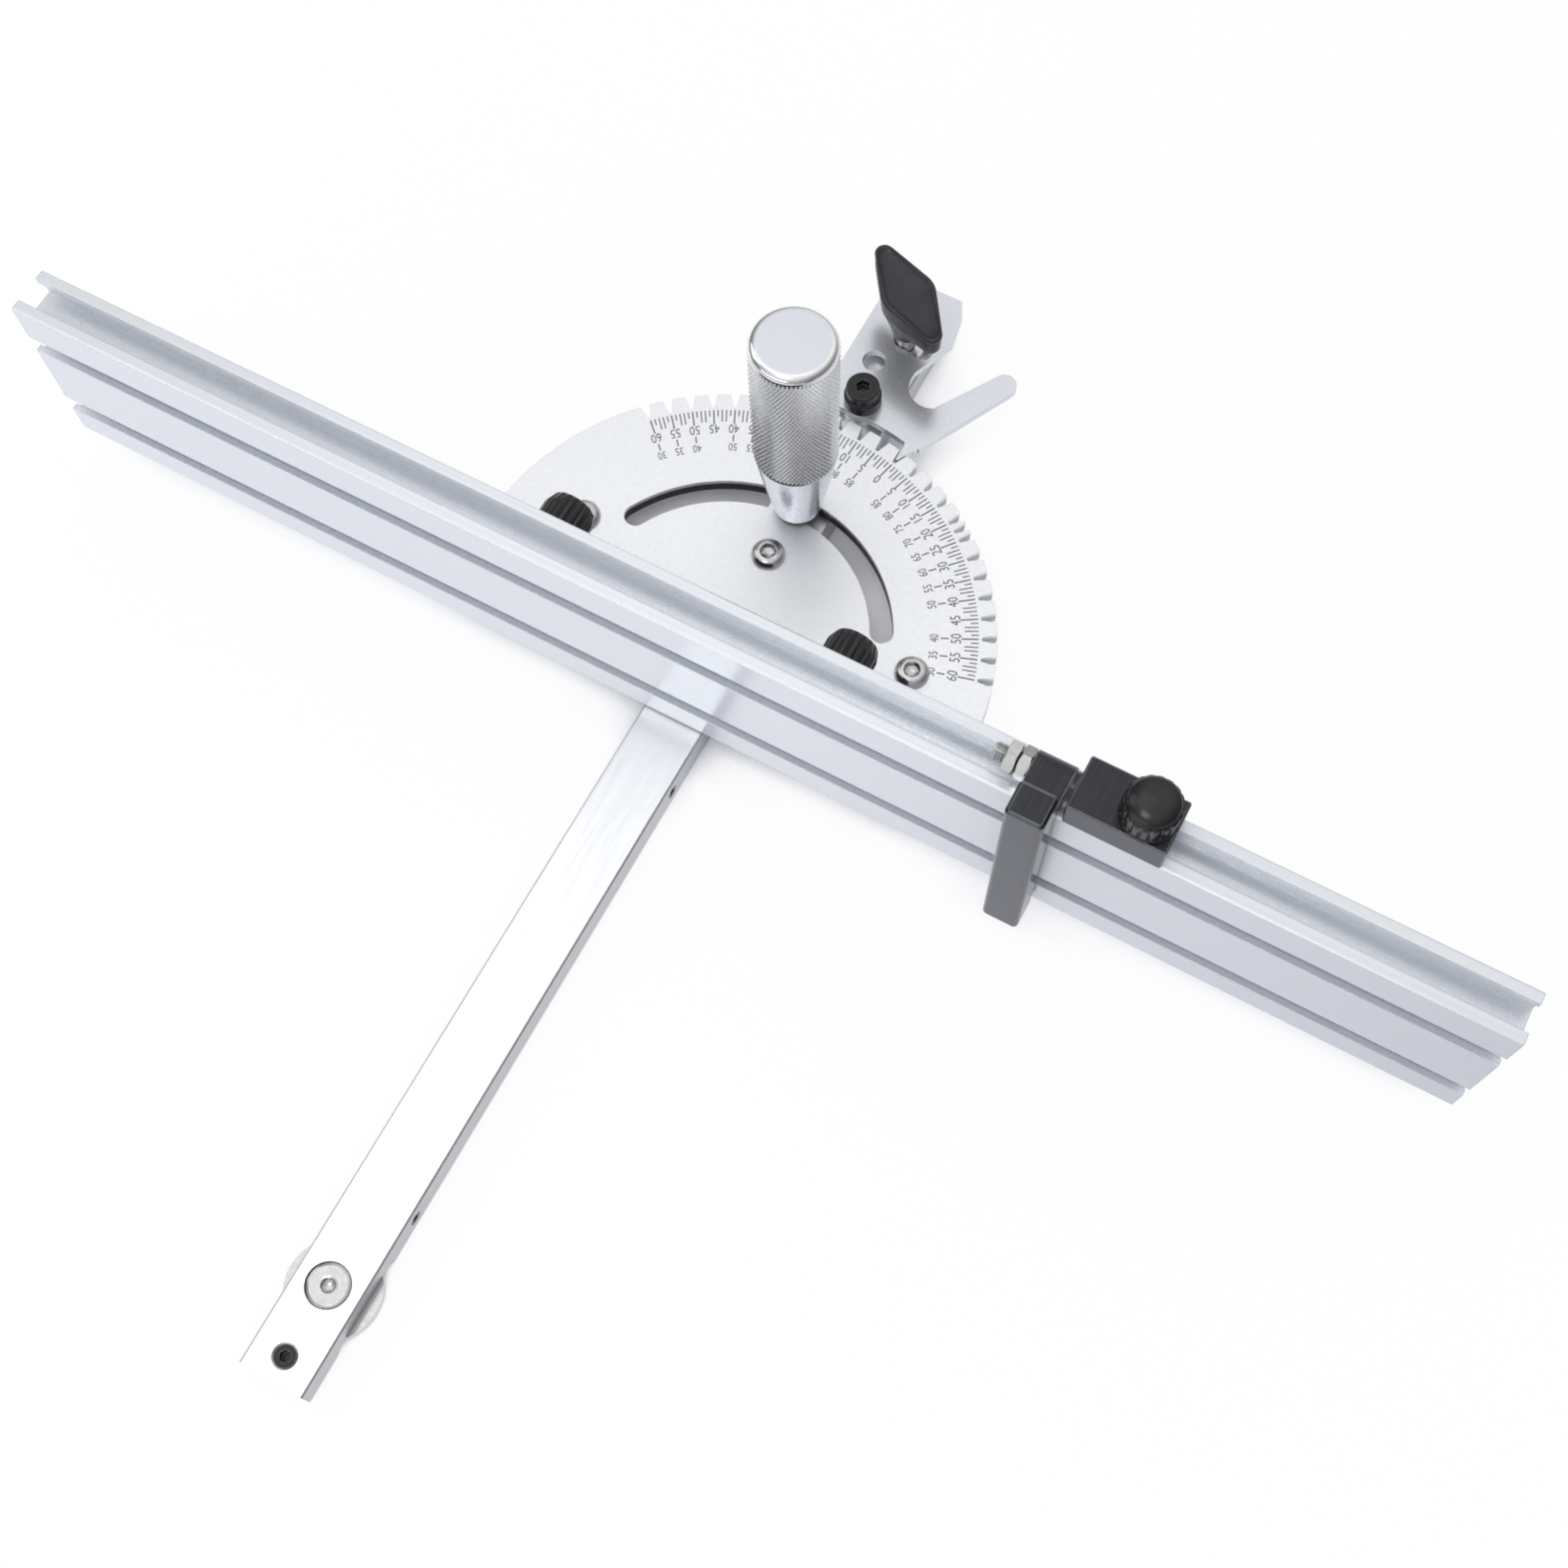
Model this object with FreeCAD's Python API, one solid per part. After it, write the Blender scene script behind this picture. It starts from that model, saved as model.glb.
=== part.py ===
"""Miter gauge: guide bar, indexed protractor head, T-slot fence and flip stop.

Millimetres. The protractor pivot is the Z axis, z = 0 is the underside of the guide bar,
the bar runs along Y and the fence along X when the gauge is set to 0 degrees.
"""
import FreeCAD, Part
import math
import os

V = FreeCAD.Vector
X_AXIS = V(1, 0, 0)
Y_AXIS = V(0, 1, 0)
Z_AXIS = V(0, 0, 1)

# Fits
fit = 0.05                      # radial clearance of a screw or pin in its hole
slide_gap = 0.1                 # between flat faces that slide on each other
free_gap = 0.3                  # between pieces that pass each other

# Guide bar
bar_width = 19.0
bar_thickness = 9.5
bar_near = 233.0                # from the pivot to the end nearest the user
bar_overhang = 18.5             # past the wing stud at the far end
bar_chamfer = 0.5
keeper_inset = 26.5             # of the T-slot keeper washer, from the near end
keeper_radius = 13.0
keeper_thickness = 2.4
keeper_relief_height = 3.2
keeper_head_radius = 5.8
keeper_head_height = 1.5
keeper_head_chamfer = 0.6
keeper_shank_radius = 2.5
leveller_inset = 6.6
leveller_radius = 2.95
leveller_chamfer = 0.45
side_screw_insets = {"near": 51.8, "far": 186.8}
side_screw_radius = 2.0
side_screw_length = 5.5
hex_depth = 1.6

# Protractor head
base_thickness = 3.4
scale_thickness = 1.4
rim_radius = 78.2
notch_depth = 4.4
notch_tip_half = 0.45
notch_mouth_half = 1.45
zero_mark_angle = 14.0          # of the 0 mark, clockwise from the bar's far end
notch_step = 5.0
notch_last = 60.0
notch_extra = 22.5
slot_radius = 45.4
slot_width = 6.8
slot_half_angle = 62.5
scale_edge_inset = 0.4
pivot_radius = 4.0
pivot_thread_radius = 3.0
pivot_head_radius = 7.0
pivot_head_height = 2.2
plate_screw_slot_inset = 17.8   # of the middle screw, from the slot toward the pivot
plate_screw_rim_inset = 22.9    # of the side screws, from the rim
plate_screw_side_angle = 75.7   # of the side screws, from the bar's far end
button_head_radius = 5.0
button_head_height = 2.6
plate_screw_radius = 2.5

# Fence, with its rear face fixed by the flange of the head
fence_rear = -14.3
fence_depth = 14.4
fence_height = 61.0
fence_bottom_gap = 0.8          # above the bar
fence_left = 203.0
fence_right = 233.0
fence_edge = 0.5
channel_mouth = 7.9
channel_lip = 2.2
channel_depth = 8.3
channel_undercut = 1.6
slot_mouth = 6.4
slot_lip = 1.9
slot_depth = 5.6
slot_undercut = 2.1
front_slot_drops = (16.6, 47.2)  # slot centres below the fence top
rear_slot_drop = 20.1
flange_thickness = 3.0
flange_half_width = 58.0
flange_rise = 7.4               # above the axis of the fence bolts
flange_corner = 8.0
fence_bolt_x = 43.4
fence_bolt_radius = 2.95
bolt_head_half = 4.8
bolt_head_thickness = 3.0

# Fluted knobs, on the fence bolts and on the stop
knob_ring_radius = 7.6
knob_ring_height = 1.2
knob_skirt_radius = 7.4
knob_skirt_height = 7.2
knob_cap_radius = 6.7
knob_crown_radius = 4.6
knob_crown_drop = 0.9
knob_height = 10.6
knob_flutes = 18
knob_flute_depth = 0.5
knob_flute_half = 0.45
knob_bore_depth = 7.0

# Clamp handle
handle_foot_radius = 5.6
handle_foot_round = 1.4
handle_seat_radius = 7.2
handle_cone_radius = 11.8
handle_grip_radius = 12.1
handle_top_radius = 10.5
handle_cone_height = 31.5
handle_height = 83.0
handle_shoulder = 3.0
handle_washer_radius = 6.0
handle_washer_thickness = 1.6
handle_stud_radius = 2.95
handle_stud_grip = 20.0

# Index plate with its tooth and finger lever
index_thickness = 2.4
index_pivot_offset = 8.0        # beyond the rim of the head
index_screw_radius = 2.95
index_bush_radius = 5.6
index_bush_height = 4.0
index_head_radius = 5.0
index_head_height = 3.6
index_spacer_radius = 6.0
index_half_width = 12.0
index_shoulder = 3.0            # by which its wing end is wider on the lever's side
index_tail = 20.0               # beyond the wing stud
index_tail_cut = 4.5
index_rim_gap = 3.0
index_swing = 14.0
index_hole_left = 3.3
index_hole_reach = 13.8         # from the index pivot
index_hole_radius = 3.5
tooth_clearance = 0.4           # beside its flanks
tooth_tip_gap = 1.3             # between its tip and the floor of the notch
tooth_boss_radius = 2.2
lever_reach_x = 34.9            # centre of the lever's round tip, from the index pivot
lever_reach_y = 24.4
lever_tip_radius = 3.6
lever_angle = 27.5              # of the lever's lower edge, clockwise from the bar
bay_radius = 7.0
bay_x = 16.4                    # centre of the finger bay, from the index pivot
bay_y = 13.4
bay_end_angle = 150.0

# Wing knob that locks the index plate
wing_reach = 24.8               # from the index pivot, along the bar
wing_side = 1.5                 # from the middle of the bar
wing_stud_radius = 2.95
wing_bottom_gap = 3.6           # thread in view above the plate
wing_hub_radius = 5.2
wing_hub_height = 7.0
wing_flare_height = 12.0
wing_edge = 0.8
wing_blade_height = 3.5
wing_half_length = 21.5
wing_half_width = 9.2
wing_neck_share = 0.5           # of the blade's outline, where the flare starts
wing_round = 3.0
wing_turn = 55.7
wing_thread_depth = 12.0

# Stop carriage and flip arm
carriage_left = 113.9
carriage_length = 26.4
carriage_height = 10.0
carriage_width = 15.2
carriage_edge = 0.4
stop_stud_inset = 18.6          # from the carriage's arm end
stop_stud_radius = 2.45
t_nut_length = 14.0
t_nut_thickness = 4.2
axle_radius = 2.45
axle_grip = 12.0
arm_width = 10.4
arm_depth = 9.8
arm_fence_gap = 0.7
arm_rise = 15.2                 # of the arm's top above the fence top
arm_ground_gap = 1.3            # of the arm's foot above the bar
arm_edge = 1.4
arm_end_edge = 0.9
arm_carriage_gap = 1.6
hub_radius = 4.65
nut_flats = 8.0
nut_thickness = 3.2
axle_overhang = 3.4

# Places that follow from the sizes above
keeper_y = keeper_inset - bar_near
leveller_y = leveller_inset - bar_near
index_pivot_y = rim_radius + index_pivot_offset
wing_y = index_pivot_y + wing_reach
wing_angle = math.degrees(math.atan2(wing_side, wing_reach))
bar_far = wing_y + bar_overhang
index_far = wing_y + index_tail
plate_screw_reach = rim_radius - plate_screw_rim_inset
plate_screw_side_x = plate_screw_reach * math.sin(math.radians(plate_screw_side_angle))
plate_screw_side_y = plate_screw_reach * math.cos(math.radians(plate_screw_side_angle))
plate_screw_places = {
    "centre": (0.0, slot_radius - plate_screw_slot_inset),
    "left": (-plate_screw_side_x, plate_screw_side_y),
    "right": (plate_screw_side_x, plate_screw_side_y),
}
stop_stud_x = carriage_left + stop_stud_inset

# Heights that follow from the sizes above
bar_top = bar_thickness
base_bottom = bar_top + slide_gap
base_top = base_bottom + base_thickness
scale_top = base_top + scale_thickness
index_bottom = scale_top - index_thickness
fence_bottom = bar_top + fence_bottom_gap
fence_top = fence_bottom + fence_height
fence_front = fence_rear - fence_depth
fence_middle = fence_rear - fence_depth / 2
rear_slot_z = fence_top - rear_slot_drop
flange_rear = fence_rear + flange_thickness
carriage_bottom = fence_top + slide_gap
carriage_top = carriage_bottom + carriage_height
axle_z = carriage_bottom + carriage_height / 2


def box(x0, x1, y0, y1, z0, z1):
    return Part.makeBox(x1 - x0, y1 - y0, z1 - z0, V(x0, y0, z0))


def rod(radius, start, direction, length):
    return Part.makeCylinder(radius, length, start, direction)


def post(radius, x, y, z0, z1):
    return rod(radius, V(x, y, z0), Z_AXIS, z1 - z0)


def hexagon(flats, start, direction, length, turn=0.0):
    """A hexagonal prism, across flats, along direction from start."""
    placement = FreeCAD.Placement(start, FreeCAD.Rotation(Z_AXIS, direction))
    corner = flats / math.sqrt(3)
    angles = [math.radians(60 * k + turn) for k in range(7)]
    outline = Part.makePolygon([V(corner * math.cos(a), corner * math.sin(a), 0) for a in angles])
    prism = Part.Face(outline).extrude(V(0, 0, length))
    prism.Placement = placement
    return prism


def polar(radius, angle, z=0.0):
    """A point at an angle in degrees, clockwise from the far end of the bar."""
    turn = math.radians(angle)
    return V(radius * math.sin(turn), radius * math.cos(turn), z)


def arc(start, middle, end):
    return Part.Arc(start, middle, end).toShape()


def line(start, end):
    return Part.LineSegment(start, end).toShape()


def turned(profile, origin=V(0, 0, 0), axis=Z_AXIS):
    """Revolve a closed profile of (radius, height) points about an axis through origin."""
    points = [V(radius, 0, height) for radius, height in profile]
    face = Part.Face(Part.makePolygon(points + points[:1]))
    solid = face.revolve(V(0, 0, 0), Z_AXIS, 360)
    solid.Placement = FreeCAD.Placement(origin, FreeCAD.Rotation(Z_AXIS, axis))
    return solid


def edges_along(shape, direction, test=lambda centre: True):
    """Straight edges of a shape that run along a direction and pass a test on their middle."""
    found = []
    for edge in shape.Edges:
        if isinstance(edge.Curve, Part.Line) and abs(abs(edge.Curve.Direction.dot(direction)) - 1) < 1e-6:
            if test(edge.CenterOfMass):
                found.append(edge)
    return found


def arc_band(radius, width, from_angle, to_angle, z0, z1, centre=V(0, 0, 0)):
    """A curved slot with round ends, on a circle about centre."""
    half = width / 2
    middle = (from_angle + to_angle) / 2
    inner, outer = radius - half, radius + half
    first, last = polar(radius, from_angle), polar(radius, to_angle)
    ahead = polar(1.0, to_angle + 90)
    behind = polar(1.0, from_angle - 90)
    wire = Part.Wire([
        arc(polar(outer, from_angle), polar(outer, middle), polar(outer, to_angle)),
        arc(polar(outer, to_angle), last + ahead * half, polar(inner, to_angle)),
        arc(polar(inner, to_angle), polar(inner, middle), polar(inner, from_angle)),
        arc(polar(inner, from_angle), first + behind * half, polar(outer, from_angle)),
    ])
    band = Part.Face(wire).extrude(V(0, 0, z1 - z0))
    band.translate(centre + V(0, 0, z0))
    return band


def blunt_rhombus(half_length, half_width, round_radius, share, z):
    """Corners of a rhombus along Y whose own corners are rounded in short straight steps."""
    lean = math.degrees(math.atan2(half_length, half_width))
    reach = half_length - round_radius / math.sin(math.radians(90 - lean))
    side_reach = half_width - round_radius / math.sin(math.radians(lean))
    points = []
    for corner in range(4):
        middle = 90 * corner
        pointed = corner % 2 == 0
        turn = lean if pointed else 90 - lean
        steps = 4 if pointed else 2
        centre = polar(reach if pointed else side_reach, middle)
        for k in range(steps + 1):
            point = centre + polar(round_radius, middle - turn + 2 * turn * k / steps)
            points.append(point * share + V(0, 0, z))
    return points


def flat_sided(lower, upper):
    """A solid with flat faces between two outlines of parallel sides."""
    faces = [Part.Face(Part.makePolygon(ring + ring[:1])) for ring in (lower, upper)]
    for k, corner in enumerate(lower):
        n = (k + 1) % len(lower)
        faces.append(Part.Face(Part.makePolygon([corner, lower[n], upper[n], upper[k], corner])))
    return Part.Solid(Part.Shell(faces))


def t_slot_cutter(face_y, inward, centre_z, x0, x1):
    """The space of a side T-slot: a mouth through the lips and a wider undercut behind them."""
    lip_y = face_y + inward * slot_lip
    floor_y = face_y + inward * slot_depth
    mouth = slot_mouth / 2
    wide = mouth + slot_undercut
    neck = box(x0, x1, min(face_y, lip_y), max(face_y, lip_y), centre_z - mouth, centre_z + mouth)
    room = box(x0, x1, min(lip_y, floor_y), max(lip_y, floor_y), centre_z - wide, centre_z + wide)
    return neck.fuse(room)


def notch_wedge(angle, z0, z1, side_gap=0.0, tip_gap=0.0):
    """The wedge that a rim notch leaves free, or with gaps the tooth that sits in it."""
    slope = (notch_mouth_half - notch_tip_half) / notch_depth
    tip = rim_radius - notch_depth + tip_gap
    mouth = rim_radius + index_rim_gap
    narrow = notch_tip_half + slope * tip_gap - side_gap
    wide = notch_mouth_half + slope * index_rim_gap - side_gap
    points = [V(-narrow, tip, 0), V(narrow, tip, 0), V(wide, mouth, 0), V(-wide, mouth, 0)]
    face = Part.Face(Part.makePolygon(points + points[:1]))
    wedge = face.extrude(V(0, 0, z1 - z0))
    wedge.translate(V(0, 0, z0))
    wedge.rotate(V(0, 0, 0), Z_AXIS, -angle)
    return wedge


def miter_bar():
    half = bar_width / 2
    bar = box(-half, half, -bar_near, bar_far, 0, bar_top)
    bar = bar.makeChamfer(bar_chamfer, edges_along(bar, Y_AXIS))
    for x, y, radius in ((0, 0, pivot_thread_radius), (0, slot_radius, handle_stud_radius),
                         (0, index_pivot_y, index_screw_radius), (wing_side, wing_y, wing_stud_radius),
                         (0, leveller_y, leveller_radius), (0, keeper_y, keeper_shank_radius)):
        bar = bar.cut(post(radius + fit, x, y, -1, bar_top + 1))
    cone = Part.makeCone(leveller_radius + fit, leveller_radius + fit + leveller_chamfer, leveller_chamfer,
                         V(0, leveller_y, bar_top - leveller_chamfer), Z_AXIS)
    bar = bar.cut(cone)
    head_floor = bar_top - keeper_head_height - slide_gap
    bar = bar.cut(post(keeper_head_radius + free_gap, 0, keeper_y, head_floor, bar_top + 1))
    relief = keeper_radius + free_gap
    bar = bar.cut(box(-half - 1, half + 1, keeper_y - relief, keeper_y + relief, -1, keeper_relief_height))
    for inset in side_screw_insets.values():
        start = V(half - side_screw_length - 1, inset - bar_near, bar_top / 2)
        bar = bar.cut(rod(side_screw_radius + fit, start, X_AXIS, side_screw_length + 2))
    return bar


def keeper_washer():
    top = keeper_relief_height
    washer = post(keeper_radius, 0, keeper_y, top - keeper_thickness, top)
    return washer.cut(post(keeper_shank_radius + fit, 0, keeper_y, 0, top + 1))


def keeper_screw():
    head_top = bar_top - slide_gap
    head_bottom = bar_top - keeper_head_height - slide_gap
    head = post(keeper_head_radius, 0, keeper_y, head_bottom, head_top)
    rim = [edge for edge in head.Edges if edge.CenterOfMass.z > head_top - 1e-3]
    head = head.makeChamfer(keeper_head_chamfer, rim)
    shank = post(keeper_shank_radius, 0, keeper_y, keeper_relief_height - keeper_thickness, head_bottom)
    socket = hexagon(3.5, V(0, keeper_y, head_top - hex_depth), Z_AXIS, hex_depth + 1)
    return head.fuse(shank).cut(socket).removeSplitter()


def levelling_set_screw():
    top = bar_top - leveller_chamfer
    screw = post(leveller_radius, 0, leveller_y, 1.5, top)
    return screw.cut(hexagon(3.0, V(0, leveller_y, top - 3), Z_AXIS, 4))


def side_set_screw(y):
    """A screw that sets how snugly the bar runs in its table slot."""
    outer = bar_width / 2 - slide_gap
    screw = rod(side_screw_radius, V(outer - side_screw_length, y, bar_top / 2), X_AXIS, side_screw_length)
    return screw.cut(hexagon(2.0, V(outer - hex_depth, y, bar_top / 2), X_AXIS, hex_depth + 1))


def pivot_screw():
    head_bottom = scale_top + slide_gap
    shoulder = post(pivot_radius, 0, 0, bar_top, head_bottom)
    thread = post(pivot_thread_radius, 0, 0, 1, bar_top)
    head = post(pivot_head_radius, 0, 0, head_bottom, head_bottom + pivot_head_height)
    head_top = head_bottom + pivot_head_height
    head = head.makeChamfer(0.5, [e for e in head.Edges if e.CenterOfMass.z > head_top - 1e-3])
    socket = hexagon(4.0, V(0, 0, head_bottom + pivot_head_height - hex_depth), Z_AXIS, hex_depth + 1)
    return shoulder.fuse([thread, head]).cut(socket).removeSplitter()


def head_outline(front_y):
    """The half disc of the head: a rim arc closed by a chord along the fence."""
    end_x = math.sqrt(rim_radius ** 2 - front_y ** 2)
    left, right = V(-end_x, front_y, 0), V(end_x, front_y, 0)
    return Part.Face(Part.Wire([arc(left, V(0, rim_radius, 0), right), line(right, left)]))


def notch_angles():
    """Every 5 degrees either way, with one more notch at 22.5 degrees each side."""
    count = int(notch_last / notch_step)
    angles = [notch_step * k for k in range(-count, count + 1)]
    return angles + [-notch_extra, notch_extra]


def cut_head_layer(layer, z0, z1, screw_clearance):
    """Notches, clamp slot and the holes that both layers of the head share."""
    cutters = [notch_wedge(zero_mark_angle + angle, z0 - 1, z1 + 1) for angle in notch_angles()]
    cutters.append(arc_band(slot_radius, slot_width, -slot_half_angle, slot_half_angle, z0 - 1, z1 + 1))
    cutters.append(post(pivot_radius + fit, 0, 0, z0 - 1, z1 + 1))
    for x, y in plate_screw_places.values():
        cutters.append(post(plate_screw_radius + screw_clearance, x, y, z0 - 1, z1 + 1))
    return layer.cut(cutters)


def protractor_base():
    base = head_outline(fence_rear).extrude(V(0, 0, base_thickness))
    base.translate(V(0, 0, base_bottom))
    base = cut_head_layer(base, base_bottom, base_top, fit)
    top = rear_slot_z + flange_rise
    flange = box(-flange_half_width, flange_half_width, fence_rear, flange_rear, base_bottom, top)
    upper = edges_along(flange, Y_AXIS, lambda centre: centre.z > top - 1)
    flange = flange.makeFillet(flange_corner, upper)
    for x in (-fence_bolt_x, fence_bolt_x):
        flange = flange.cut(rod(fence_bolt_radius + fit, V(x, fence_rear - 1, rear_slot_z), Y_AXIS,
                                flange_thickness + 2))
    base = base.fuse(flange).removeSplitter()
    inner = edges_along(base, X_AXIS, lambda centre: abs(centre.y - flange_rear) < 0.01
                        and abs(centre.z - base_top) < 0.01)
    return base.makeFillet(scale_edge_inset, inner) if inner else base


def scale_plate():
    plate = head_outline(flange_rear + 2 * scale_edge_inset).extrude(V(0, 0, scale_thickness))
    plate.translate(V(0, 0, base_top))
    return cut_head_layer(plate, base_top, scale_top, fit)


def plate_screw(x, y):
    """A button head screw: a head that rises in two slopes, with a hexagon socket."""
    rise, reach = button_head_height, button_head_radius
    profile = [(0, 0), (reach, 0), (reach, 0.17 * rise), (0.78 * reach, 0.72 * rise), (0.42 * reach, rise),
               (0, rise)]
    head = turned(profile, V(x, y, scale_top))
    shank = post(plate_screw_radius, x, y, base_bottom, scale_top)
    socket = hexagon(3.0, V(x, y, scale_top + rise - hex_depth), Z_AXIS, hex_depth + 1, 12)
    return head.fuse(shank).cut(socket).removeSplitter()


def fence_extrusion():
    fence = box(-fence_left, fence_right, fence_front, fence_rear, fence_bottom, fence_top)
    fence = fence.makeChamfer(fence_edge, edges_along(fence, X_AXIS))
    x0, x1 = -fence_left - 1, fence_right + 1
    mouth = channel_mouth / 2
    wide = mouth + channel_undercut
    lip_z = fence_top - channel_lip
    floor_z = fence_top - channel_depth
    fence = fence.cut(box(x0, x1, fence_middle - mouth, fence_middle + mouth, lip_z, fence_top + 1))
    fence = fence.cut(box(x0, x1, fence_middle - wide, fence_middle + wide, floor_z, lip_z))
    for drop in front_slot_drops:
        fence = fence.cut(t_slot_cutter(fence_front, 1, fence_top - drop, x0, x1))
    return fence.cut(t_slot_cutter(fence_rear, -1, rear_slot_z, x0, x1))


def fence_bolt(x):
    """A T-bolt: its square head rides in the rear slot of the fence."""
    head_front = fence_rear - slot_lip - slide_gap - bolt_head_thickness
    head = box(x - bolt_head_half, x + bolt_head_half, head_front, head_front + bolt_head_thickness,
               rear_slot_z - bolt_head_half, rear_slot_z + bolt_head_half)
    length = flange_rear + slide_gap + knob_bore_depth - 0.5 - (head_front + bolt_head_thickness)
    shank = rod(fence_bolt_radius, V(x, head_front + bolt_head_thickness, rear_slot_z), Y_AXIS, length)
    return head.fuse(shank)


def fluted_knob(seat, axis, bore_radius):
    """A moulded knob: base ring, skirt with V flutes and a crowned cap, on a blind threaded bore."""
    side = knob_skirt_radius
    profile = [(0, 0), (knob_ring_radius, 0), (knob_ring_radius, knob_ring_height), (side, knob_ring_height),
               (side, knob_skirt_height), (knob_cap_radius, knob_skirt_height + (side - knob_cap_radius)),
               (knob_crown_radius, knob_height - knob_crown_drop / 2), (0, knob_height)]
    knob = turned(profile)
    floor, mouth = side - knob_flute_depth, side + knob_flute_depth
    wide = 2 * knob_flute_half
    points = [V(floor, 0, 0), V(mouth, -wide, 0), V(mouth, wide, 0)]
    flute = Part.Face(Part.makePolygon(points + points[:1])).extrude(V(0, 0, knob_height))
    flute.translate(V(0, 0, knob_ring_height))
    flutes = []
    for k in range(knob_flutes):
        copy = flute.copy()
        copy.rotate(V(0, 0, 0), Z_AXIS, 360.0 * k / knob_flutes)
        flutes.append(copy)
    knob = knob.cut(flutes)
    knob = knob.cut(post(bore_radius + fit, 0, 0, -1, knob_bore_depth))
    knob.Placement = FreeCAD.Placement(seat, FreeCAD.Rotation(Z_AXIS, axis))
    return knob


def fence_knob(x):
    return fluted_knob(V(x, flange_rear + slide_gap, rear_slot_z), Y_AXIS, fence_bolt_radius)


def clamp_handle():
    """A turned handle: polished cone, grip and a crowned shoulder, on a blind threaded bore."""
    seat = scale_top + handle_washer_thickness
    cone_top = seat + handle_cone_height
    top = seat + handle_height
    step = handle_grip_radius - handle_cone_radius
    outline = [(0, seat), (handle_foot_radius, seat), (handle_seat_radius, seat + handle_foot_round),
               (handle_cone_radius, cone_top - step), (handle_grip_radius, cone_top),
               (handle_grip_radius, top - handle_shoulder),
               (handle_grip_radius - step, top - handle_shoulder / 3), (handle_top_radius, top), (0, top)]
    handle = turned(outline)
    handle = handle.cut(post(handle_stud_radius + fit, 0, 0, seat - 1, seat + handle_stud_grip))
    handle.translate(V(0, slot_radius, 0))
    return handle


def clamp_washer():
    z0, z1 = scale_top, scale_top + handle_washer_thickness
    washer = post(handle_washer_radius, 0, slot_radius, z0, z1)
    return washer.cut(post(handle_stud_radius + fit, 0, slot_radius, z0 - 1, z1 + 1))


def clamp_stud():
    top = scale_top + handle_washer_thickness + handle_stud_grip - 0.5
    return post(handle_stud_radius, 0, slot_radius, 1, top)


def index_outline():
    """The index plate seen from above: body, wing-knob end, bay, finger lever and tooth flank."""
    inner = rim_radius + index_rim_gap
    tooth_root = polar(inner, zero_mark_angle - 1.6)
    slope = V(math.sin(math.radians(lever_angle)), math.cos(math.radians(lever_angle)), 0)
    across = V(slope.y, -slope.x, 0)
    tip = V(lever_reach_x, index_pivot_y + lever_reach_y, 0)
    lower_tip = tip + across * lever_tip_radius
    upper_tip = tip - across * lever_tip_radius
    lower_root = lower_tip - slope * ((lower_tip - polar(inner, zero_mark_angle)).dot(slope) - 1.5)
    bay = V(bay_x, index_pivot_y + bay_y, 0)
    bay_left = bay - V(bay_radius, 0, 0)
    bay_right = bay + polar(bay_radius, bay_end_angle)
    left_foot = polar(inner, -math.degrees(math.atan2(0.6 * index_half_width, inner)))
    wide = index_half_width + index_shoulder
    right_side = [V(bay_left.x, bay.y + bay_radius / 3, 0), V(wide, wing_y + wide / 3, 0),
                  V(wide - 0.6 * index_shoulder, index_far - 1.2 * index_tail_cut, 0),
                  V(wide - index_tail_cut, index_far, 0)]
    left_side = [V(index_tail_cut - index_half_width, index_far, 0),
                 V(-index_half_width, index_far - index_tail_cut, 0),
                 V(-index_half_width, index_pivot_y + index_rim_gap, 0)]
    edges = [line(lower_root, lower_tip), arc(lower_tip, tip + slope * lever_tip_radius, upper_tip),
             line(upper_tip, bay_right), arc(bay_right, bay - V(0, bay_radius, 0), bay_left)]
    path = [bay_left] + right_side + left_side + [left_foot]
    edges += [line(a, b) for a, b in zip(path, path[1:])]
    edges.append(arc(left_foot, polar(inner, zero_mark_angle / 3), tooth_root))
    edges.append(line(tooth_root, lower_root))
    return Part.Face(Part.Wire(edges))


def index_plate():
    plate = index_outline().extrude(V(0, 0, index_thickness))
    plate.translate(V(0, 0, index_bottom))
    tooth = notch_wedge(zero_mark_angle, index_bottom, scale_top, tooth_clearance, tooth_tip_gap)
    reach = polar(rim_radius + index_rim_gap + 0.6, zero_mark_angle)
    root = post(tooth_boss_radius, reach.x, reach.y, index_bottom, scale_top)
    plate = plate.fuse([tooth, root]).removeSplitter()
    pivot = V(0, index_pivot_y, 0)
    z0, z1 = index_bottom - 1, scale_top + 1
    holes = [post(index_screw_radius + fit, 0, index_pivot_y, z0, z1),
             post(index_hole_radius, -index_hole_left, index_pivot_y + index_hole_reach, z0, z1),
             arc_band(math.hypot(wing_reach, wing_side), 2 * (wing_stud_radius + free_gap), wing_angle - 1.0,
                      wing_angle + index_swing + 1.0, z0, z1, pivot)]
    return plate.cut(holes)


def spacer(x, y, hole_radius):
    """A ring that carries the index plate above the bar."""
    ring = post(index_spacer_radius, x, y, bar_top, index_bottom)
    return ring.cut(post(hole_radius + fit, x, y, bar_top - 1, index_bottom + 1))


def index_bush():
    z0 = scale_top
    bush = post(index_bush_radius, 0, index_pivot_y, z0, z0 + index_bush_height)
    top_edge = [e for e in bush.Edges if e.CenterOfMass.z > z0 + index_bush_height - 1e-3]
    bush = bush.makeChamfer(0.5, top_edge)
    return bush.cut(post(index_screw_radius + fit, 0, index_pivot_y, z0 - 1, z0 + index_bush_height + 1))


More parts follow.
